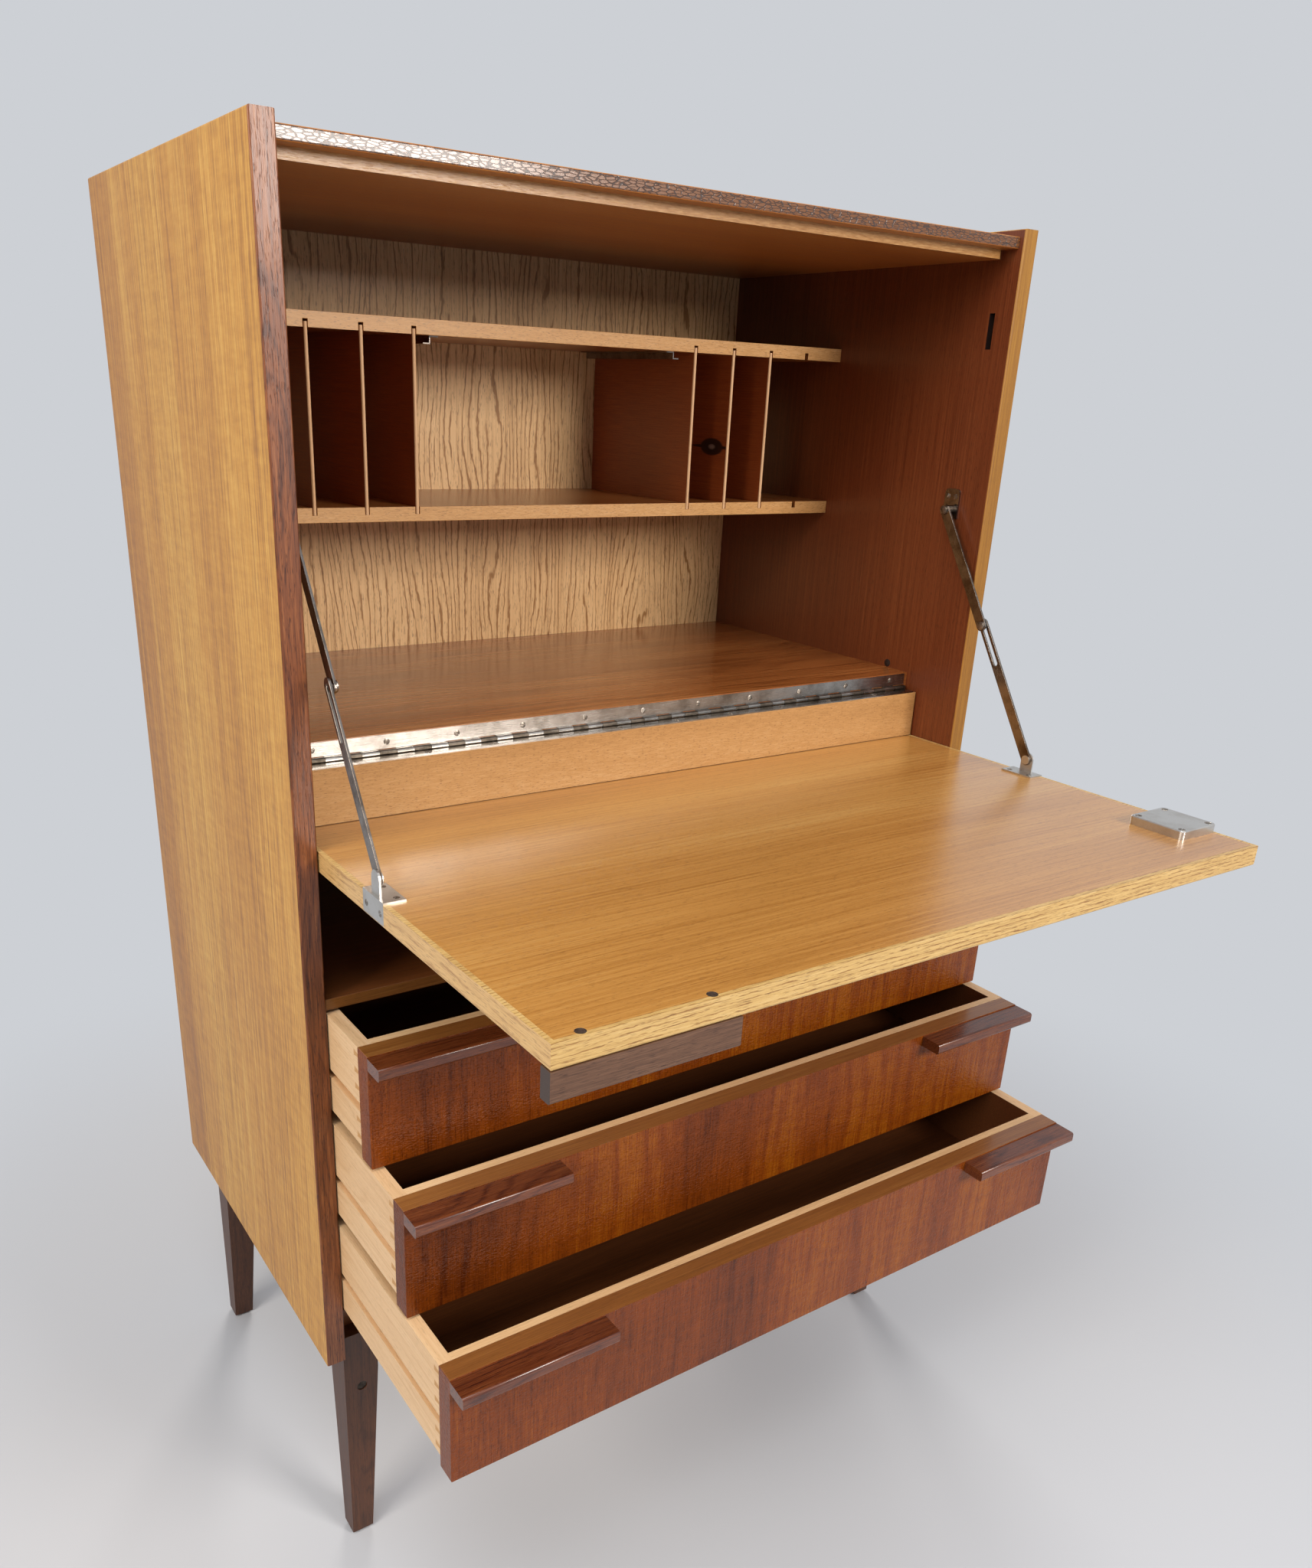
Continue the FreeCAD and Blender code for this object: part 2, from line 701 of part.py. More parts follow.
# A bolt with a sunk head goes through each leg into the end of its base rail.
leg_bolt = bolt_rod(leg_bolt_radius, leg_bolt_sink, leg_top + leg_bolt_bite)
leg_bolt = leg_bolt.fuse(bolt_rod(leg_bolt_head_radius, leg_bolt_sink, leg_bolt_head)).removeSplitter()
hole_depth = leg_bolt_sink + leg_top + leg_bolt_bite + screw_play
bolt_hole = bolt_rod(leg_bolt_radius + screw_play, 0.0, hole_depth)
bolt_hole = bolt_hole.fuse(bolt_rod(leg_bolt_head_radius + screw_play, 0.0, leg_bolt_sink + leg_bolt_head))

front_leg, back_leg = at_legs(leg.cut(bolt_hole))
save("leg_front_right", front_leg)
save("leg_front_left", mirrored(front_leg))
save("leg_back_right", back_leg)
save("leg_back_left", mirrored(back_leg))

base_rail = block(
    bolt_x - rail_thick / 2, bolt_x + rail_thick / 2, leg_front_y + leg_top, leg_back_y - leg_top,
    base - rail_drop, bottom_under)
base_rail = base_rail.cut(Part.makeCompound(at_legs(bolt_hole)))
save("base_rail_right", base_rail)
save("base_rail_left", mirrored(base_rail))

bolts = list(at_legs(leg_bolt))
save("leg_bolts", bolts + [mirrored(b) for b in bolts])
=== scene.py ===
import math

import bpy
import numpy as np
from mathutils import Matrix, Vector


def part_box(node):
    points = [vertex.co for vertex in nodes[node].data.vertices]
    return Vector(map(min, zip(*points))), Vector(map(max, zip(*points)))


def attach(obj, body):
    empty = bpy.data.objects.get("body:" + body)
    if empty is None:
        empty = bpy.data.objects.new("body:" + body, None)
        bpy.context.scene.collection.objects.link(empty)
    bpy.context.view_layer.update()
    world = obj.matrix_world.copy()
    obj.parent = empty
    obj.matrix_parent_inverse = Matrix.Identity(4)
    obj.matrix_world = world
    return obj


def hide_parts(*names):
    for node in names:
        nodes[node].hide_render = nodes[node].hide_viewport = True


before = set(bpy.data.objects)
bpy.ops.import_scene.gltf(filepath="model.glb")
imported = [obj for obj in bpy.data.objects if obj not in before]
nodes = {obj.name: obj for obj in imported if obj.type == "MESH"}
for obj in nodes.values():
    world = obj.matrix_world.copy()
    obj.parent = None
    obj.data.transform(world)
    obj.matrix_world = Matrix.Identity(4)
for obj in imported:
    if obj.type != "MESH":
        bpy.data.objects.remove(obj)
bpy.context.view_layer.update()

MM = 0.001


# Small helpers

def srgb(code):
    """sRGB hex colour as linear red, green, blue and alpha."""
    parts = [int(code[i:i + 2], 16) / 255 for i in (1, 3, 5)]
    linear = [c / 12.92 if c <= 0.04045 else ((c + 0.055) / 1.055) ** 2.4 for c in parts]
    return (*linear, 1.0)


def add(tree, kind, feeds=None, stops=(), **settings):
    """One node in a shader tree. Settings are the node's own. Feeds go to its sockets by name or number, and
    each is a plain value, a socket, or a node whose first live output is used. Stops are the places and
    hex colours of a colour ramp."""
    made = tree.nodes.new(kind)
    for key, value in settings.items():
        setattr(made, key, value)
    if stops:
        elements = made.color_ramp.elements
        while len(elements) < len(stops):
            elements.new(1.0)
        for element, (place, code) in zip(elements, stops):
            element.position = place
            element.color = srgb(code)
    for key, value in (feeds or {}).items():
        if isinstance(value, bpy.types.Node):
            value = next(socket for socket in value.outputs if socket.enabled)
        if isinstance(value, bpy.types.NodeSocket):
            tree.links.new(value, made.inputs[key])
        else:
            made.inputs[key].default_value = value
    return made


def blank(name):
    """New material with an empty shader tree."""
    made = bpy.data.materials.new(name)
    made.use_nodes = True
    made.node_tree.nodes.clear()
    return made, made.node_tree


# What all wood finishes share. Flame and peel have a size across the grain and one along it, in mm.
FLAME_MM = (26.0, 7.0)
PEEL_MM = (3.4, 1.6)
# Where on the tone's scale a finish has its dark, middle and pale colour.
TONE_PLACES = (0.2, 0.5, 0.8)
# Noise values between which dashes of a growth line and pores come in.
DASH_EDGE = (0.36, 0.62)
PORE_EDGE = (0.6, 0.7)
PORE_TINT = "#6a4020"
# A glue line is dark up to the first height over its seam and has faded out at the second, in mm.
GLUE_MM = (0.5, 0.9)
GLUE_TINT = "#4a2a12"
# Colours from a knot's middle outward. The tails start further out on the same scale, so they are all dark.
KNOT_TINTS = ((0.0, "#8d8178"), (0.22, "#7b6a60"), (0.34, "#1d0c06"), (0.9, "#2b1209"))
TAIL_START = 0.35
KNOT_EDGE = (1.0, 0.85)
# Depth of the relief in mm, and how much shinier and duller than its mean a finish gets.
RELIEF_MM = 0.4
SHINIER, DULLER = 0.07, 0.09
LACQUER_INDEX = 1.5

# Turns that lay the grain along the pattern's third axis.
GRAIN_TURN = {
    "x": (0.0, math.pi / 2, 0.0),
    "y": (math.pi / 2, 0.0, 0.0),
    "z": (0.0, 0.0, 0.0),
}


def wood(name, along, colours, fibre_mm=1.2, run_mm=60.0, fibre=0.8, line_mm=9.0, line=0.0, thin=4.0,
         dash_mm=120.0, wander_mm=25.0, wave_mm=60.0, band_mm=90.0, band=0.35, leaves=(), pores=0.25,
         pore_mm=8.0, flame=0.0, gloss=0.34, coat=0.2, coat_gloss=0.12, relief=0.06, peel=0.0, knot=None,
         seam_mm=None, index=1.48):
    """Lacquered wood. Its tone is a sum: fibres are noise drawn out along the grain, growth lines are a sine
    across the grain raised to a power, bent by slow noise and broken into dashes, and broad bands are slow
    noise. Flame is a faint mottle across the grain. Pores are short dark dashes. Peel is the small dimpling
    of thick lacquer. Leaves are the tints of veneer strips that start at given places across the grain. A
    seam is the height of a dark glue line. A knot is a place, the radii of its eye and the radii of its thin
    dark tails. Gloss and coat_gloss are roughnesses, so less is shinier. The index is that of the finish
    under the coat. Sizes are in mm."""
    made, tree = blank(name)
    place = add(tree, "ShaderNodeTexCoord").outputs["Object"]
    turned = add(tree, "ShaderNodeMapping", {"Vector": place, "Rotation": GRAIN_TURN[along]})
    # Each noise has a size across the grain, one along it, and its detail.
    noises = {
        "fibre": (fibre_mm, run_mm, 4.0),
        "band": (band_mm, band_mm * 8, 1.0),
        "pore": (fibre_mm * 0.6, pore_mm, 1.0),
    }
    if flame:
        noises["flame"] = (*FLAME_MM, 2.0)
    if peel:
        noises["peel"] = (*PEEL_MM, 1.0)
    if line:
        noises["wave"] = (wave_mm, wave_mm * 4, 1.0)
        noises["ripple"] = (line_mm, line_mm * 3, 2.0)
        noises["dash"] = (line_mm * 0.8, dash_mm, 2.0)
    field = {}
    for key, (across_mm, length_mm, detail) in noises.items():
        scale = (1 / (across_mm * MM), 1 / (across_mm * MM), 1 / (length_mm * MM))
        drawn = add(tree, "ShaderNodeMapping", {"Vector": turned, "Scale": scale})
        field[key] = add(tree, "ShaderNodeTexNoise", {
            "Vector": drawn, "Scale": 1.0, "Detail": detail, "Roughness": 0.6})

    strands = add(tree, "ShaderNodeMath", {0: field["fibre"], 1: fibre, 2: 0.5 - (fibre + band) / 2},
                  operation="MULTIPLY_ADD")
    tone = add(tree, "ShaderNodeMath", {0: field["band"], 1: band, 2: strands}, operation="MULTIPLY_ADD")
    if flame:
        level = add(tree, "ShaderNodeMath", {0: tone, 1: flame / 2}, operation="SUBTRACT")
        tone = add(tree, "ShaderNodeMath", {0: field["flame"], 1: flame, 2: level}, operation="MULTIPLY_ADD")
    axes = add(tree, "ShaderNodeSeparateXYZ", {"Vector": turned})
    if line:
        # Noise swings by about a quarter of its range, so the wander is taken four times.
        turns = 2 * math.pi / (line_mm * MM)
        across = add(tree, "ShaderNodeMath", {0: axes.outputs["X"], 1: axes.outputs["Y"]})
        bent = add(tree, "ShaderNodeMath", {0: field["wave"], 1: wander_mm * MM * 4, 2: across},
                   operation="MULTIPLY_ADD")
        bent = add(tree, "ShaderNodeMath", {0: field["ripple"], 1: line_mm * MM * 0.7, 2: bent},
                   operation="MULTIPLY_ADD")
        phase = add(tree, "ShaderNodeMath", {0: bent, 1: turns}, operation="MULTIPLY")
        swing = add(tree, "ShaderNodeMath", {0: phase}, operation="SINE")
        lifted = add(tree, "ShaderNodeMath", {0: swing, 1: 0.5, 2: 0.5}, operation="MULTIPLY_ADD")
        narrow = add(tree, "ShaderNodeMath", {0: lifted, 1: thin}, operation="POWER")
        broken = add(tree, "ShaderNodeMapRange", {
            "Value": field["dash"], "From Min": DASH_EDGE[0], "From Max": DASH_EDGE[1]})
        ring = add(tree, "ShaderNodeMath", {0: narrow, 1: broken}, operation="MULTIPLY")
        tone = add(tree, "ShaderNodeMath", {0: ring, 1: -line, 2: tone}, operation="MULTIPLY_ADD")
    colour = add(tree, "ShaderNodeValToRGB", {"Fac": tone}, list(zip(TONE_PLACES, colours)))
    if leaves:
        first, last = leaves[0][0], leaves[-1][0]
        strip = add(tree, "ShaderNodeMapRange", {
            "Value": axes.outputs["Y"], "From Min": first * MM, "From Max": last * MM})
        tint = add(tree, "ShaderNodeValToRGB", {"Fac": strip}, [
            ((start - first) / (last - first), code) for start, code in leaves])
        tint.color_ramp.interpolation = "CONSTANT"
        colour = add(tree, "ShaderNodeMix", {"Factor": 1.0, 6: colour, 7: tint}, data_type="RGBA",
                     blend_type="MULTIPLY")
    pore = add(tree, "ShaderNodeMapRange", {
        "Value": field["pore"], "From Min": PORE_EDGE[0], "From Max": PORE_EDGE[1], "To Max": pores})
    colour = add(tree, "ShaderNodeMix", {"Factor": pore, 6: colour, 7: srgb(PORE_TINT)}, data_type="RGBA",
                 blend_type="MULTIPLY")
    if knot:
        spot, eye_size, tail_size = ([c * MM for c in part] for part in knot)
        moved = add(tree, "ShaderNodeVectorMath", {0: place, 1: spot}, operation="SUBTRACT")
        eye_share = add(tree, "ShaderNodeVectorMath", {0: moved, 1: eye_size}, operation="DIVIDE")
        tail_share = add(tree, "ShaderNodeVectorMath", {0: moved, 1: tail_size}, operation="DIVIDE")
        eye_away = add(tree, "ShaderNodeVectorMath", {0: eye_share}, operation="LENGTH")
        tail_away = add(tree, "ShaderNodeVectorMath", {0: tail_share}, operation="LENGTH")
        tail_away = add(tree, "ShaderNodeMath", {0: tail_away.outputs["Value"], 1: TAIL_START})
        away = add(tree, "ShaderNodeMath", {0: eye_away.outputs["Value"], 1: tail_away}, operation="MINIMUM")
        core = add(tree, "ShaderNodeValToRGB", {"Fac": away}, KNOT_TINTS)
        inside = add(tree, "ShaderNodeMapRange", {
            "Value": away, "From Min": KNOT_EDGE[0], "From Max": KNOT_EDGE[1]})
        colour = add(tree, "ShaderNodeMix", {"Factor": inside, 6: colour, 7: core}, data_type="RGBA")
    if seam_mm is not None:
        upright = add(tree, "ShaderNodeSeparateXYZ", {"Vector": place})
        dark, clear = ((seam_mm + rise) * MM for rise in GLUE_MM)
        glue = add(tree, "ShaderNodeMapRange", {
            "Value": upright.outputs["Z"], "From Min": clear, "From Max": dark})
        colour = add(tree, "ShaderNodeMix", {"Factor": glue, 6: colour, 7: srgb(GLUE_TINT)}, data_type="RGBA")
    height = add(tree, "ShaderNodeMath", {0: field["fibre"], 1: pore}, operation="SUBTRACT")
    if peel:
        height = add(tree, "ShaderNodeMath", {0: field["peel"], 1: peel, 2: height}, operation="MULTIPLY_ADD")
    bump = add(tree, "ShaderNodeBump", {"Height": height, "Strength": relief, "Distance": RELIEF_MM * MM})
    rough = add(tree, "ShaderNodeMapRange", {
        "Value": field["fibre"], "To Min": gloss - SHINIER, "To Max": gloss + DULLER})
    shader = add(tree, "ShaderNodeBsdfPrincipled", {
        "Base Color": colour, "Roughness": rough, "Normal": bump, "IOR": index, "Coat Weight": coat,
        "Coat Roughness": coat_gloss, "Coat IOR": LACQUER_INDEX, "Coat Normal": bump})
    add(tree, "ShaderNodeOutputMaterial", {"Surface": shader})
    return made


# Brush lines are this many times as long as wide. Tarnish comes in between two values of its noise.
BRUSH_RUN = 40
TARNISH_EDGE = (0.36, 0.56)


def metal(name, colour, stain, roughness, stain_mm, brush_mm, brush_axis="x"):
    """Worn metal: a base tone, clouds of tarnish and fine brush lines in the roughness and relief."""
    made, tree = blank(name)
    place = add(tree, "ShaderNodeTexCoord").outputs["Object"]
    turned = add(tree, "ShaderNodeMapping", {"Vector": place, "Rotation": GRAIN_TURN[brush_axis]})
    scale = (1 / (brush_mm * MM), 1 / (brush_mm * MM), 1 / (brush_mm * BRUSH_RUN * MM))
    drawn = add(tree, "ShaderNodeMapping", {"Vector": turned, "Scale": scale})
    brush = add(tree, "ShaderNodeTexNoise", {"Vector": drawn, "Scale": 1.0, "Detail": 3.0})
    cloud = add(tree, "ShaderNodeTexNoise", {
        "Vector": place, "Scale": 1 / (stain_mm * MM), "Detail": 5.0, "Roughness": 0.7})
    tint = add(tree, "ShaderNodeValToRGB", {"Fac": cloud}, list(zip(TARNISH_EDGE, (stain, colour))))
    rough = add(tree, "ShaderNodeMapRange", {
        "Value": brush, "To Min": roughness - 0.08, "To Max": roughness + 0.14})
    bump = add(tree, "ShaderNodeBump", {"Height": brush, "Strength": 0.05, "Distance": 0.1 * MM})
    shader = add(tree, "ShaderNodeBsdfPrincipled", {
        "Base Color": tint, "Metallic": 1.0, "Roughness": rough, "Normal": bump})
    add(tree, "ShaderNodeOutputMaterial", {"Surface": shader})
    return made


# Finishes

# Honey lacquered elm veneer of the sides: fine upright lines, strips of veneer darker or paler by turns.
honey_side = wood("honey_elm_veneer", "z", ("#9a671b", "#c38f36", "#d9b15d"), fibre_mm=1.7, run_mm=300,
                  fibre=1.25, line_mm=13, line=0.14, thin=3, wander_mm=14, wave_mm=80, band_mm=60, band=0.3,
                  pores=0.4, pore_mm=22, flame=0.3, gloss=0.44, coat=0.06, leaves=(
                      (-40, "#fff8ec"), (66, "#f6ebd6"), (172, "#fffbf3"), (252, "#f6ebd8"), (322, "#e6d3b2"),
                      (392, "#e6d3b2")))
# The same veneer inside in red brown, painted darker as well for the shade inside the carcass.
inner_side_shaded = wood("red_brown_inner_veneer_painted_shade", "z", ("#4b1f0d", "#663016", "#7e4321"), fibre_mm=1.6, run_mm=160,
                  band_mm=110, band=0.3, pores=0.4, gloss=0.38, coat=0.15)
# Dark walnut lipping on the left side's front edge, glossy.
walnut_lip = wood("walnut_lipping", "z", ("#4a210b", "#78411d", "#9d6437"), fibre_mm=1.1, run_mm=45,
                  fibre=1.1, line_mm=7, line=0.2, pores=0.7, gloss=0.36, coat=0.14, relief=0.3)
# Amber lipping on the right side's front edge.
amber_lip = wood("amber_lipping", "z", ("#75490f", "#8f6017", "#a67827"), fibre_mm=1.2, run_mm=90, gloss=0.5,
                 coat=0.03)
# Old lacquer on the top board's front edge: dark, crazed into small plates that flash white, with dark
# cracks. Plates are about 7 mm long and 2 mm high.
PLATE_MM = (7.0, 2.0, 2.0)
top_edge, tree = blank("crazed_dark_lipping")
place = add(tree, "ShaderNodeTexCoord").outputs["Object"]
stretch = add(tree, "ShaderNodeMapping", {"Vector": place, "Scale": [1 / (size * MM) for size in PLATE_MM]})
cracks = add(tree, "ShaderNodeTexVoronoi", {"Vector": stretch, "Scale": 1.0}, feature="DISTANCE_TO_EDGE")
plates = add(tree, "ShaderNodeTexVoronoi", {"Vector": stretch, "Scale": 1.0})
tone = add(tree, "ShaderNodeMapRange", {"Value": cracks, "From Max": 0.12})
colour = add(tree, "ShaderNodeValToRGB", {"Fac": tone}, [
    (0.0, "#150a05"), (0.5, "#4a2a15"), (1.0, "#6f4523")])
lift = add(tree, "ShaderNodeMath", {0: plates.outputs["Color"], 1: 0.8, 2: tone}, operation="MULTIPLY_ADD")
bump = add(tree, "ShaderNodeBump", {"Height": lift, "Strength": 0.5, "Distance": 0.5 * MM})
rough = add(tree, "ShaderNodeMapRange", {"Value": tone, "To Min": 0.6, "To Max": 0.24})
shader = add(tree, "ShaderNodeBsdfPrincipled", {
    "Base Color": colour, "Roughness": rough, "Normal": bump, "IOR": LACQUER_INDEX, "Coat Weight": 0.5,
    "Coat Roughness": 0.15})
add(tree, "ShaderNodeOutputMaterial", {"Surface": shader})
# The top, in the sides' veneer with the grain from side to side, and its browner underside.
honey_top = wood("honey_elm_top_veneer", "x", ("#9a671b", "#bb8833", "#d2a957"), fibre_mm=1.7, run_mm=300,
                 fibre=1.1, line_mm=15, line=0.14, thin=3, wander_mm=16, wave_mm=90, band_mm=70, band=0.35,
                 pores=0.4, pore_mm=22, flame=0.2, gloss=0.4, coat=0.1)
top_face = wood("red_brown_top_veneer", "x", ("#885024", "#aa6a31", "#c28849"), fibre_mm=1.6, run_mm=160,
                band=0.3, gloss=0.4, coat=0.1)
# Pale stop strip with a speckled gloss.
stop_wood = wood("pale_stop_strip", "x", ("#8f5f2b", "#ab7b43", "#c59d66"), fibre_mm=1.3, run_mm=10,
                 fibre=1.1, gloss=0.36, coat=0.2, relief=0.6)
# Ash back panel: thin dark growth lines run upright and wander in a pale ground.
ash_back = wood("ash_back_veneer", "z", ("#9a6c39", "#dfb57f", "#ebca9a"), fibre_mm=1.5, run_mm=90, fibre=0.6,
                line_mm=7, line=0.62, thin=10, dash_mm=200, wander_mm=14, wave_mm=55, band_mm=70, band=0.25,
                pores=0.5, gloss=0.5, coat=0.05, relief=0.2)
# Steamed beech of the shelf edges and the riser: short dark flecks in a pale ground. Under the riser, where
# it stands on the flap, runs a dark line of glue.
beech = wood("steamed_beech", "x", ("#a67640", "#c4945a", "#d8b07f"), fibre_mm=0.9, run_mm=7, fibre=0.6,
             band_mm=40, band=0.3, pores=0.5, pore_mm=4.0, gloss=0.44, coat=0.08)
riser_wood = wood("steamed_beech_riser", "x", ("#946939", "#b3854f", "#c9a16f"), fibre_mm=0.9, run_mm=9,
                  fibre=0.6, band_mm=40, band=0.4, pores=0.5, pore_mm=4.0, gloss=0.5, coat=0.03,
                  seam_mm=737.5)
# Shelf faces: glossy mid-brown veneer with long fine fibres.
shelf_face = wood("brown_shelf_veneer", "x", ("#7c4521", "#9c6230", "#b98048"), fibre_mm=1.1, run_mm=140,
                  gloss=0.3, coat=0.3)
# Thin dividers: dark stained faces, pale edges. One face of the middle right divider has a knot.
DIVIDER_TONES = ("#6e2c12", "#95491f", "#ae5f2e")
DIVIDER_GRAIN = {"fibre_mm": 0.9, "run_mm": 40, "band": 0.2, "gloss": 0.44, "coat": 0.08}
DIVIDER_KNOT = ((205.4, 221.0, 1027.0), (3.0, 21.0, 9.5), (3.0, 62.0, 3.4))
divider_face = wood("stained_divider", "y", DIVIDER_TONES, **DIVIDER_GRAIN)
knotty_face = wood("stained_divider_with_knot", "y", DIVIDER_TONES, knot=DIVIDER_KNOT, **DIVIDER_GRAIN)
divider_edge = wood("divider_edge", "z", ("#bf9263", "#d6ac80", "#e6c39b"), fibre_mm=0.8, run_mm=60,
                    gloss=0.45, coat=0.05)
# Desk shelf: glossy brown with darker streaks, grain from side to side.
desk_face = wood("gloss_desk_veneer", "x", ("#6f3b18", "#9e5d2d", "#bd8148"), fibre_mm=1.6, run_mm=240,
                 band_mm=45, line_mm=16, line=0.2, band=0.6, gloss=0.24, coat=0.4)
# Writing flap: honey veneer with fine straight lines and short flecks, half gloss.
flap_face = wood("honey_flap_veneer", "x", ("#9d682b", "#bb8643", "#cea360"), fibre_mm=1.1, run_mm=160,
                 fibre=0.8, line_mm=6, line=0.14, thin=3, wander_mm=8, wave_mm=90, band_mm=70, band=0.5,
                 pores=0.35, pore_mm=6, gloss=0.3, coat=0.75, coat_gloss=0.26)
# Ash lipping round the flap: rows of dark open pores in a straw ground, few of them on the short sides.
flap_lip_x = wood("ash_lipping_long", "x", ("#8f6636", "#c9a566", "#dfc48e"), fibre_mm=0.9, run_mm=30,
                  fibre=0.6, line_mm=3.6, line=0.45, thin=9, dash_mm=12, wander_mm=0.6, wave_mm=30,
                  pores=0.5, gloss=0.4, coat=0.1, relief=0.2)
flap_lip_y = wood("ash_lipping_short", "y", ("#9a6a35", "#d3ab6f", "#e4c68f"), fibre_mm=1.0, run_mm=35,
                  fibre=0.5, line_mm=6.5, line=0.22, thin=5, dash_mm=20, wander_mm=3, wave_mm=30,
                  pores=0.5, gloss=0.36, coat=0.15)
# Drawer fronts: red-brown walnut, fine upright grain, slow bands from orange to dark, dimpled old lacquer.
RED_WALNUT_TONES = ("#471b04", "#783707", "#a6600d")
RED_WALNUT_GRAIN = {
    "fibre_mm": 1.4, "fibre": 0.45, "line_mm": 24, "line": 0.1, "thin": 2, "wander_mm": 20, "band_mm": 110,
    "band": 0.6, "pores": 0.45, "flame": 0.15, "gloss": 0.28, "coat": 0.06, "relief": 0.6, "peel": 2.4,
    "index": 1.34}
drawer_face = wood("red_walnut_drawer_veneer", "z", RED_WALNUT_TONES, run_mm=45, pore_mm=5,
                   **RED_WALNUT_GRAIN)
# The flap's outer face carries the same veneer, upright when it is shut.
flap_outside = wood("red_walnut_flap_veneer", "y", RED_WALNUT_TONES, run_mm=90, pore_mm=6,
                    **RED_WALNUT_GRAIN)
# The drawer fronts' top edges: olive-brown lipping, glossy.
drawer_lip = wood("olive_drawer_lipping", "x", ("#6b3f1c", "#875527", "#a4753f"), fibre_mm=1.1, run_mm=80,
                  gloss=0.3, coat=0.3)
# Pale birch drawer sides, darker end grain on the dovetail pins, insides painted dark brown as the shade in
# the drawers.
birch = wood("birch_drawer_side", "y", ("#c99f71", "#deb98d", "#ebcfaa"), fibre_mm=1.4, run_mm=90, fibre=0.6,
             line_mm=14, line=0.12, band=0.25, pores=0.2, gloss=0.5, coat=0.04)
birch_x = wood("birch_inner_front", "x", ("#cba173", "#e0bb8c", "#ebceaa"), fibre_mm=1.1, run_mm=60,
               pores=0.2, gloss=0.5, coat=0.04)
pin_end = wood("birch_end_grain", "x", ("#a9763f", "#c3935c", "#d3a873"), fibre_mm=0.5, run_mm=0.8, pores=0.3,
               gloss=0.55, coat=0.0)
drawer_inside_shade = wood("drawer_inside_painted_shade", "x", ("#4e260e", "#6d3c1c", "#855027"), fibre_mm=1.2, run_mm=60,
                     gloss=0.5, coat=0.05)
# Solid walnut: red-brown drawer handles, the flap's worn grey handle with dark end grain, dark legs.
walnut_x = wood("walnut_handle", "x", ("#41190c", "#653218", "#8a5029"), fibre_mm=0.9, run_mm=40, fibre=0.9,
                line_mm=8, line=0.25, pores=0.7, gloss=0.28, coat=0.35)
grey_walnut = wood("worn_walnut_handle", "x", ("#3d261a", "#60422f", "#7c5b45"), fibre_mm=0.9, run_mm=30,
                   fibre=0.8, pores=0.6, gloss=0.46, coat=0.05)
walnut_end = wood("walnut_end_grain", "x", ("#2b201a", "#403029", "#564439"), fibre_mm=0.5, run_mm=0.8,
                  pores=0.5, gloss=0.5, coat=0.05)
walnut_z = wood("walnut_leg", "z", ("#301608", "#4b2812", "#643c20"), fibre_mm=0.9, run_mm=50, line_mm=9,
                line=0.2, pores=0.7, gloss=0.44, coat=0.06)
# Plain brown boards inside the carcass, near-black wood, in the lock's mortise as painted shade and on the
# stop peg, dark grey-brown base rails and pale runners.
dark_board = wood("plain_carcass_board", "x", ("#5a3016", "#774522", "#8f5a30"), fibre_mm=1.2, run_mm=80,
                  gloss=0.42, coat=0.1)
near_black_and_shade = wood("near_black_wood_and_painted_shade", "z", ("#160a05", "#20100a", "#2b170e"), fibre_mm=1.2, run_mm=60,
                    gloss=0.6, coat=0.0)
rail_wood = wood("base_rail_wood", "y", ("#3d2114", "#5d3a28", "#76503c"), fibre_mm=1.0, run_mm=50, gloss=0.4)
runner_wood = wood("beech_runner", "y", ("#bd8a58", "#cfa070", "#dcb38a"), fibre_mm=1.0, run_mm=40, gloss=0.5,
                   coat=0.0)

# Metals: bright nickel plate on the hinge, satin on the lock, browned plate on the stays, dull old screws.
nickel = metal("aged_nickel_hinge", "#a6a29d", "#79736c", roughness=0.22, stain_mm=40, brush_mm=0.6)
# Darker, duller nickel: painted shade on the riser leaf's hinge knuckles.
knuckle_shade_nickel = metal("nickel_knuckles_painted_shade", "#6e655b", "#4a4239", roughness=0.36, stain_mm=12,
                    brush_mm=0.6)
lock_nickel = metal("satin_nickel_lock", "#cfcdc9", "#c2beb8", roughness=0.34, stain_mm=20, brush_mm=0.5)
stay_steel = metal("plated_steel_stay", "#8f8780", "#64574c", roughness=0.2, stain_mm=30, brush_mm=0.5,
                   brush_axis="z")
bolt_steel = metal("blackened_bolt_steel", "#4a433d", "#2d2825", roughness=0.42, stain_mm=5, brush_mm=0.4)
screw_steel = metal("old_screw_steel", "#a39a90", "#6f655a", roughness=0.34, stain_mm=6, brush_mm=0.4)


# Finish per face of the solids

# Two directions are the same for a finish when the cosine between them is over this.
SAME_WAY = 0.86
WELD_MM = 0.001
SHARP_EDGE = math.radians(40)


def dress(node, default, *rules):
    """Gives a solid its finishes. Each rule is an outward direction and the finish of the faces that look
    that way, within about 30 degrees."""
    mesh = nodes[node].data
    mesh.materials.clear()
    mesh.materials.append(default)
    normals = np.zeros(len(mesh.polygons) * 3, np.float32)
    mesh.polygons.foreach_get("normal", normals)
    normals = normals.reshape(-1, 3)
    index = np.zeros(len(normals), np.int32)
    for number, (direction, finish) in enumerate(rules, start=1):
        mesh.materials.append(finish)
        index[normals @ np.array(direction, float) > SAME_WAY] = number
    mesh.polygons.foreach_set("material_index", index)


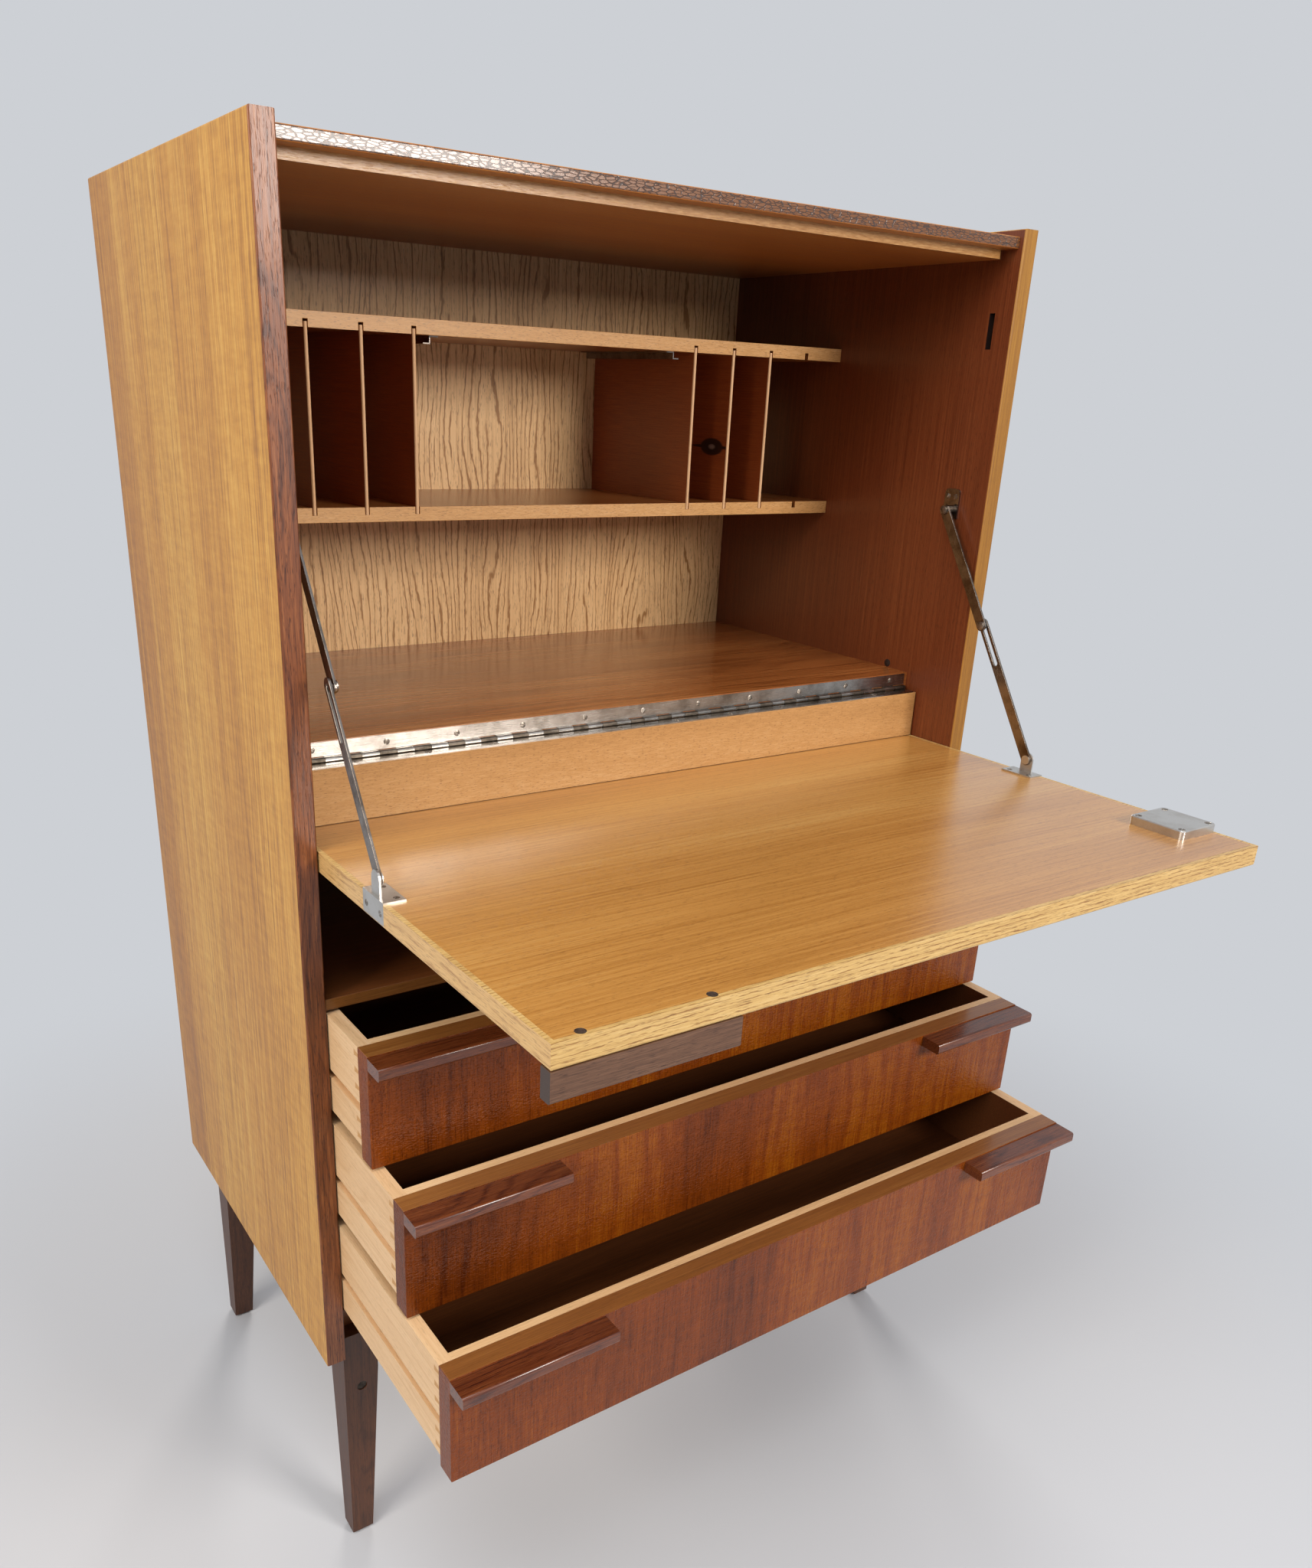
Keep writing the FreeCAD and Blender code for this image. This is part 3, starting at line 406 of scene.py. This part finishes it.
def dress_inside(node, low, high, finish):
    """Gives the faces whose middles lie inside a box, in mm, another finish."""
    mesh = nodes[node].data
    middles = np.zeros(len(mesh.polygons) * 3, np.float32)
    mesh.polygons.foreach_get("center", middles)
    middles = middles.reshape(-1, 3) / MM
    index = np.zeros(len(middles), np.int32)
    mesh.polygons.foreach_get("material_index", index)
    index[((middles > low) & (middles < high)).all(axis=1)] = len(mesh.materials)
    mesh.materials.append(finish)
    mesh.polygons.foreach_set("material_index", index)


def ease(node, width_mm):
    """Eases a solid's sharp edges by a small round, as sanding does."""
    merge = nodes[node].modifiers.new("merge", "WELD")
    merge.merge_threshold = WELD_MM * MM
    arris = nodes[node].modifiers.new("arris", "BEVEL")
    arris.width = width_mm * MM
    arris.segments = 2
    arris.limit_method = "ANGLE"
    arris.angle_limit = SHARP_EDGE
    arris.harden_normals = True


# Directions, and the two that a side panel's front chamfers look in.
LEFT, RIGHT = (-1, 0, 0), (1, 0, 0)
FRONT, BACK = (0, -1, 0), (0, 1, 0)
UP, DOWN = (0, 0, 1), (0, 0, -1)
FRONT_LEFT, FRONT_RIGHT = (-0.707, -0.707, 0), (0.707, -0.707, 0)

# The sides' inner faces take the red brown with its painted shade.
dress("side_panel_left", honey_side, (RIGHT, inner_side_shaded), (FRONT, walnut_lip), (FRONT_LEFT, walnut_lip),
      (FRONT_RIGHT, walnut_lip))
dress("side_panel_right", honey_side, (LEFT, inner_side_shaded), (FRONT, amber_lip), (FRONT_LEFT, amber_lip),
      (FRONT_RIGHT, amber_lip))
dress("top_board", top_face, (FRONT, top_edge), (UP, honey_top))
dress("flap_stop", stop_wood)
dress("back_panel", ash_back)
dress("desk_shelf", desk_face)
dress("dust_board", dark_board, (FRONT, drawer_lip))
dress("bottom_board", dark_board)
dress("upper_shelf", shelf_face, (FRONT, beech))
dress("lower_shelf", shelf_face, (FRONT, beech))
dress("tray_rails", stay_steel)
dress("drawer_runners", runner_wood)
for leg in ("leg_front_left", "leg_front_right", "leg_back_left", "leg_back_right"):
    dress(leg, walnut_z)
    ease(leg, 1.2)
dress("base_rail_left", rail_wood)
dress("base_rail_right", rail_wood)
dress("leg_bolts", bolt_steel)
dress("flap_board", flap_face, (DOWN, flap_outside))
dress("flap_edging", flap_lip_x, (LEFT, flap_lip_y), (RIGHT, flap_lip_y), (DOWN, flap_outside))
dress("flap_riser", riser_wood)
dress("flap_handle", grey_walnut, (LEFT, walnut_end), (RIGHT, walnut_end))
dress("flap_handle_screws", screw_steel)
dress("hinge_leaf_shelf", nickel)
dress("hinge_leaf_riser", nickel)
dress("hinge_pin", nickel)

# The riser leaf's knuckles are painted in a darker, duller nickel as painted shade for the dark gaps between
# bright knuckles, so bright and dark ones alternate along the pin. A box round the pin takes them in without
# the leaf.
pin_low, pin_high = np.array(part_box("hinge_pin")) / MM
pin_middle = (pin_low + pin_high) / 2
knuckle_reach = np.array([400.0, 2.6, 2.6])
dress_inside("hinge_leaf_riser", pin_middle - knuckle_reach, pin_middle + knuckle_reach, knuckle_shade_nickel)

# The lock's mortise in the right side is painted near black inside, as painted shade in the recess.
MORTISE_SHADE_LOW, MORTISE_SHADE_HIGH = (357.5, -34.0, 1080.0), (370.0, 30.0, 1200.0)
dress_inside("side_panel_right", MORTISE_SHADE_LOW, MORTISE_SHADE_HIGH, near_black_and_shade)

dress("lock_case", lock_nickel)
dress("lock_bolt", lock_nickel)
for side in ("left", "right"):
    dress("stay_bracket_" + side, stay_steel)
    dress("stay_upper_" + side, stay_steel)
    dress("stay_lower_" + side, stay_steel)
    dress("stay_foot_" + side, lock_nickel)
    ease("stay_upper_" + side, 0.3)
    ease("stay_lower_" + side, 0.3)
# Inner faces, backs and bases of the drawers get the dark brown painted shade.
for drawer in ("top_drawer", "middle_drawer", "bottom_drawer"):
    dress(drawer + "_front", drawer_face, (UP, drawer_lip))
    dress(drawer + "_inner_front", birch_x, (BACK, drawer_inside_shade), (LEFT, pin_end), (RIGHT, pin_end))
    dress(drawer + "_side_left", birch, (RIGHT, drawer_inside_shade))
    dress(drawer + "_side_right", birch, (LEFT, drawer_inside_shade))
    dress(drawer + "_back", drawer_inside_shade)
    dress(drawer + "_base", drawer_inside_shade)
    dress(drawer + "_handles", walnut_x)
    ease(drawer + "_front", 0.8)
    ease(drawer + "_handles", 0.8)
for board in ("upper_shelf", "lower_shelf", "dust_board", "flap_riser"):
    ease(board, 0.4)
ease("flap_handle", 0.8)


# Dividers

FRONT_POINTS = 9


def dividers(name, node, middles, thick, top_gap, face, edge):
    """Thin boards in the shelves' grooves. The outline seen from above is a long loop whose front end is half
    a circle, and it is carried up from the groove's floor to a little below the groove's end."""
    low, high = np.array(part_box(node)) / MM
    half = thick / 2
    bend = np.linspace(np.pi, 2 * np.pi, FRONT_POINTS)
    x = np.concatenate([half * np.cos(bend), [half, -half]])
    y = np.concatenate([low[1] + half + half * np.sin(bend), [high[1], high[1]]])
    z = np.array([low[2], high[2] - top_gap])
    around = len(x)
    ring = np.stack([np.stack([x, y, np.full(around, level)], -1) for level in z])
    points = ring[None] + np.array([[m, 0, 0] for m in middles], float)[:, None, None, :]
    here = np.arange(around)
    after = (here + 1) % around
    walls = np.stack([here, after, around + after, around + here], -1)
    shift = np.arange(len(middles)) * 2 * around
    sides = (walls[None] + shift[:, None, None]).reshape(-1, 4)
    floors = here[::-1][None] + shift[:, None]
    roofs = (around + here)[None] + shift[:, None]
    faces = sides.tolist() + floors.tolist() + roofs.tolist()
    mesh = bpy.data.meshes.new(name)
    mesh.from_pydata((points.reshape(-1, 3) * MM).tolist(), [], faces)
    mesh.materials.append(face)
    mesh.materials.append(edge)
    rounded = np.tile(here < len(bend) - 1, len(middles))
    index = np.concatenate([rounded, np.zeros(2 * len(middles), bool)]).astype(np.int32)
    mesh.polygons.foreach_set("material_index", index)
    piece = bpy.data.objects.new(name, mesh)
    bpy.context.scene.collection.objects.link(piece)
    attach(piece, "case")
    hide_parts(node)


# Middles of the left and right boards, their thickness and the gap at the groove's end.
LEFT_BOARDS, RIGHT_BOARDS = (-256.7, -206.7, -156.7), (157.3, 207.3, 257.3)
BOARD_THICK, BOARD_GAP = 3.3, 1.8
dividers("divider_boards_left", "dividers_left", LEFT_BOARDS, BOARD_THICK, BOARD_GAP, divider_face,
         divider_edge)
dividers("divider_boards_right", "dividers_right", RIGHT_BOARDS, BOARD_THICK, BOARD_GAP, knotty_face,
         divider_edge)


# Small fasteners

# A head's corners round it, the shares of its radius at which it has rings, how far it reaches down into its
# plate, and how strongly angles crowd at the slot's ends.
HEAD_STEPS = 40
HEAD_SHARES = (1.0, 1.0, 0.94, 0.8, 0.6, 0.4, 0.2)
HEAD_SINK = 0.2
CROWDING = 0.45
# A slot's wall starts this share of its width away from its line, and spans this share.
WALL_START, WALL_SPAN = 0.4, 0.2
SHARP_RIM = math.radians(35)


def heads(name, places, facing, radius, rise, body, slot_wide=0.0, slot_deep=0.0, turns=(0.0,),
          finish=screw_steel):
    """Screw or rivet heads on a plate. Each is a dome: at a share t of the radius it stands a third of the
    rise plus two thirds of it times one minus t squared. A slot lowers it where the distance from the slot's
    line is under half the slot's width. Angles crowd together at the slot's ends."""
    step = np.arange(HEAD_STEPS) / HEAD_STEPS
    angle = (2 * np.pi * step - CROWDING * np.sin(4 * np.pi * step))[None, :]
    share = np.array(HEAD_SHARES)[:, None]
    a, b = share * radius * np.cos(angle), share * radius * np.sin(angle)
    dome = rise * (1 + 2 * (1 - share ** 2)) / 3
    edge = np.clip((np.abs(b) / max(slot_wide, 0.01) - WALL_START) / WALL_SPAN, 0, 1)
    height = dome - slot_deep * (1 - edge)
    height[0] = -HEAD_SINK
    rings, around = height.shape
    flat = np.stack([a, b, height], -1).reshape(-1, 3)
    poles = np.array([[0, 0, -HEAD_SINK], [0, 0, rise - slot_deep]])
    shape = np.concatenate([flat, poles])

    out = np.array(facing, float)
    first = np.cross(out, (0, 0, 1) if abs(out[2]) < 0.5 else (0, 1, 0))
    second = np.cross(out, first)
    count = len(places)
    turn = np.radians(np.resize(turns, count))[:, None, None]
    one = np.cos(turn) * first + np.sin(turn) * second
    two = np.cos(turn) * second - np.sin(turn) * first
    points = np.array(places, float)[:, None, :] + shape[None, :, :1] * one + shape[None, :, 1:2] * two
    points = points + shape[None, :, 2:] * out

    row, col = np.meshgrid(np.arange(rings - 1), np.arange(around), indexing="ij")
    after = (col + 1) % around
    quads = np.stack([row * around + col, row * around + after, (row + 1) * around + after,
                      (row + 1) * around + col], -1).reshape(-1, 4)
    spin = np.arange(around)
    ahead_of = (spin + 1) % around
    low, high = rings * around, rings * around + 1
    last = (rings - 1) * around
    caps = np.concatenate([np.stack([ahead_of, spin, np.full(around, low)], -1),
                           np.stack([last + spin, last + ahead_of, np.full(around, high)], -1)])
    shift = (np.arange(count) * len(shape))[:, None, None]
    faces = (quads[None] + shift).reshape(-1, 4).tolist() + (caps[None] + shift).reshape(-1, 3).tolist()

    mesh = bpy.data.meshes.new(name)
    mesh.from_pydata((points.reshape(-1, 3) * MM).tolist(), [], faces)
    mesh.materials.append(finish)
    mesh.polygons.foreach_set("use_smooth", np.ones(len(mesh.polygons), bool))
    mesh.set_sharp_from_angle(angle=SHARP_RIM)
    piece = bpy.data.objects.new(name, mesh)
    bpy.context.scene.collection.objects.link(piece)
    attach(piece, body)


# Places of the fasteners, in mm. Rows on the hinge leaves are given by y and z, and what sits on the stays by
# its place on the right.
HINGE_SCREW_PITCH = 66.0
SHELF_ROW, RISER_ROW = (36.5, 797.4), (25.5, 786.9)
LOCK_SCREWS_X, LOCK_SCREWS_Y, LOCK_FACE_Z = (310.5, 349.5), (-344.5, -301.5), 745.5
FOOT_SCREWS_Y, WALL_SCREWS_Y = (-154.0, -130.0), (1.3, 10.7)
FOOT_EDGE_X, FOOT_EDGE_Z = 356.0, 729.0
FOOT_TAB_X, FOOT_TAB_Z = 343.0, 739.0
WALL_PLATE_X, WALL_PLATE_Z = 355.0, 992.5
WALL_PIVOT, MID_RIVET = (344.9, 6.0, 979.0), (345.0, -63.15, 872.5)
STOP_PEG = (357.0, 69.0, 808.6)
# Kinds of head: radius, rise, and the slot's width and depth. Slots are turned by these angles in turn.
HINGE_HEAD = {"radius": 2.7, "rise": 0.7, "slot_wide": 0.8, "slot_deep": 0.6}
LOCK_HEAD = {"radius": 3.0, "rise": 0.6, "slot_wide": 0.9, "slot_deep": 0.6}
PLATE_HEAD = {"radius": 2.6, "rise": 0.6, "slot_wide": 0.8, "slot_deep": 0.5}
FLAT_HEAD = {"radius": 2.6, "rise": 0.3, "slot_wide": 0.8, "slot_deep": 0.3}
RIVET_DOME = {"radius": 4.2, "rise": 1.0}
PEG_DOME = {"radius": 4.2, "rise": 0.9}
SLOT_TURNS = (25.0, 70.0, -40.0, 5.0, 110.0, 50.0, -15.0)

hinge_screws = np.arange(-5, 6) * HINGE_SCREW_PITCH
shelf_leaf = [(x, *SHELF_ROW) for x in hinge_screws]
riser_leaf = [(x + HINGE_SCREW_PITCH / 2, *RISER_ROW) for x in hinge_screws[:-1]]
heads("hinge_screws_shelf", shelf_leaf, FRONT, body="case", turns=SLOT_TURNS, **HINGE_HEAD)
heads("hinge_screws_riser", riser_leaf, UP, body="flap", turns=SLOT_TURNS, **HINGE_HEAD)
lock_screws = [(x, y, LOCK_FACE_Z) for x in LOCK_SCREWS_X for y in LOCK_SCREWS_Y]
heads("lock_screws", lock_screws, UP, body="flap", turns=SLOT_TURNS, **LOCK_HEAD)
for side, way in (("left", -1), ("right", 1)):
    outward, inward, mirror = (way, 0, 0), (-way, 0, 0), (way, 1, 1)
    plate = [(way * FOOT_EDGE_X, y, FOOT_EDGE_Z) for y in FOOT_SCREWS_Y]
    heads("foot_edge_screws_" + side, plate, outward, body="flap", turns=SLOT_TURNS, **FLAT_HEAD)
    tab = [(way * FOOT_TAB_X, y, FOOT_TAB_Z) for y in FOOT_SCREWS_Y]
    heads("foot_tab_screws_" + side, tab, UP, body="flap", turns=SLOT_TURNS, **PLATE_HEAD)
    wall = [(way * WALL_PLATE_X, y, WALL_PLATE_Z) for y in WALL_SCREWS_Y]
    heads("wall_plate_screws_" + side, wall, inward, body="case", turns=SLOT_TURNS, **PLATE_HEAD)
    heads("wall_pivot_dome_" + side, [np.multiply(WALL_PIVOT, mirror)], inward, body="case", **RIVET_DOME)
    heads("mid_rivet_dome_" + side, [np.multiply(MID_RIVET, mirror)], inward, body="stay_upper_" + side,
          **RIVET_DOME)

# A dark stop peg in the right side, just over the desk shelf.
heads("stop_peg", [STOP_PEG], LEFT, body="case", finish=near_black_and_shade, **PEG_DOME)


# Floor, light and camera

# Lengths from here on are in metres. The floor fades into the backdrop's colour far from the object, for the
# camera and for mirrors only.
BACKDROP = "#cdd0d5"
FLOOR_TONE = "#c0c3c9"
FLOOR_HALF = 30.0
FADE_START, FADE_END = 0.6, 1.4
floor_paint, tree = blank("pale_floor_paint")
floor_place = add(tree, "ShaderNodeTexCoord").outputs["Object"]
paint = add(tree, "ShaderNodeBsdfPrincipled", {"Base Color": srgb(FLOOR_TONE), "Roughness": 0.5})
glow = add(tree, "ShaderNodeEmission", {"Color": srgb(BACKDROP), "Strength": 1.0})
far = add(tree, "ShaderNodeVectorMath", {0: floor_place}, operation="LENGTH")
fade = add(tree, "ShaderNodeMapRange", {"Value": far, "From Min": FADE_START, "From Max": FADE_END},
           interpolation_type="SMOOTHSTEP")
path = add(tree, "ShaderNodeLightPath")
seen = add(tree, "ShaderNodeMath", {0: path.outputs["Is Camera Ray"], 1: path.outputs["Is Glossy Ray"]},
           operation="MAXIMUM")
share = add(tree, "ShaderNodeMath", {0: fade, 1: seen}, operation="MULTIPLY")
surface = add(tree, "ShaderNodeMixShader", {"Fac": share, 1: paint, 2: glow})
add(tree, "ShaderNodeOutputMaterial", {"Surface": surface})

corners = [(x * FLOOR_HALF, y * FLOOR_HALF, 0) for x, y in ((-1, -1), (1, -1), (1, 1), (-1, 1))]
floor_mesh = bpy.data.meshes.new("floor")
floor_mesh.from_pydata(corners, [], [(0, 1, 2, 3)])
floor_mesh.materials.append(floor_paint)
floor = bpy.data.objects.new("floor", floor_mesh)
bpy.context.scene.collection.objects.link(floor)

# The world shows the backdrop's colour to the camera and to mirrors, and gives a weaker even light.
EVEN_LIGHT, EVEN_STRENGTH = "#dfe3ea", 0.45
world = bpy.data.worlds.new("studio")
world.use_nodes = True
bpy.context.scene.world = world
tree = world.node_tree
tree.nodes.clear()
path = add(tree, "ShaderNodeLightPath")
seen = add(tree, "ShaderNodeMath", {0: path.outputs["Is Camera Ray"], 1: path.outputs["Is Glossy Ray"]},
           operation="MAXIMUM")
show = add(tree, "ShaderNodeBackground", {"Color": srgb(BACKDROP), "Strength": 1.0})
even = add(tree, "ShaderNodeBackground", {"Color": srgb(EVEN_LIGHT), "Strength": EVEN_STRENGTH})
sky = add(tree, "ShaderNodeMixShader", {"Fac": seen, 1: even, 2: show})
add(tree, "ShaderNodeOutputWorld", {"Surface": sky})


def softbox(name, place, aim, size, power, code):
    """Rectangular lamp that faces a point. Its power is in watts."""
    lamp = bpy.data.lights.new(name, "AREA")
    lamp.shape = "RECTANGLE"
    lamp.size, lamp.size_y = size
    lamp.energy = power
    lamp.color = srgb(code)[:3]
    made = bpy.data.objects.new(name, lamp)
    made.location = place
    made.rotation_euler = (Vector(aim) - Vector(place)).to_track_quat("-Z", "Y").to_euler()
    bpy.context.scene.collection.objects.link(made)


softbox("front", place=(0.75, -2.5, 1.78), aim=(0.0, 0.0, 0.9), size=(0.9, 0.8), power=62.0, code="#fff8f0")
softbox("left", place=(-3.0, -0.9, 2.2), aim=(-0.3, 0.1, 0.7), size=(1.4, 1.4), power=68.0, code="#fff4e4")
softbox("top", place=(-0.9, -0.8, 2.6), aim=(-0.1, -0.1, 0.6), size=(1.2, 1.2), power=20.0, code="#ffffff")
softbox("back", place=(1.2, 2.8, 1.3), aim=(0.0, 0.3, 0.7), size=(1.0, 1.0), power=45.0, code="#fff8f0")

# Camera fitted to the picture's outlines: focal length and centre in picture points of a 1713 by 2048 frame.
wide, tall = 1713, 2048
focal, centre_x, centre_y = 1613.73, 807.94, 1182.60
azimuth, elevation, roll = (math.radians(a) for a in (34.7053, 22.5362, -2.4805))
eye = Vector((-0.67545, -0.91231, 1.07756))
ahead = Vector((math.sin(azimuth) * math.cos(elevation), math.cos(azimuth) * math.cos(elevation),
                -math.sin(elevation)))
level = Vector((math.cos(azimuth), -math.sin(azimuth), 0.0))
down = ahead.cross(level)
right = level * math.cos(roll) + down * math.sin(roll)
down = down * math.cos(roll) - level * math.sin(roll)
lens = bpy.data.cameras.new("camera")
lens.sensor_fit = "HORIZONTAL"
lens.sensor_width = 36.0
lens.lens = focal / wide * lens.sensor_width
lens.shift_x = (wide / 2 - centre_x) / wide
lens.shift_y = (centre_y - tall / 2) / wide
lens.clip_start = 0.01
camera = bpy.data.objects.new("camera", lens)
camera.matrix_world = Matrix((
    (right.x, -down.x, -ahead.x, eye.x),
    (right.y, -down.y, -ahead.y, eye.y),
    (right.z, -down.z, -ahead.z, eye.z),
    (0, 0, 0, 1)))
bpy.context.scene.collection.objects.link(camera)
bpy.context.scene.camera = camera
bpy.context.scene.view_settings.view_transform = "Standard"
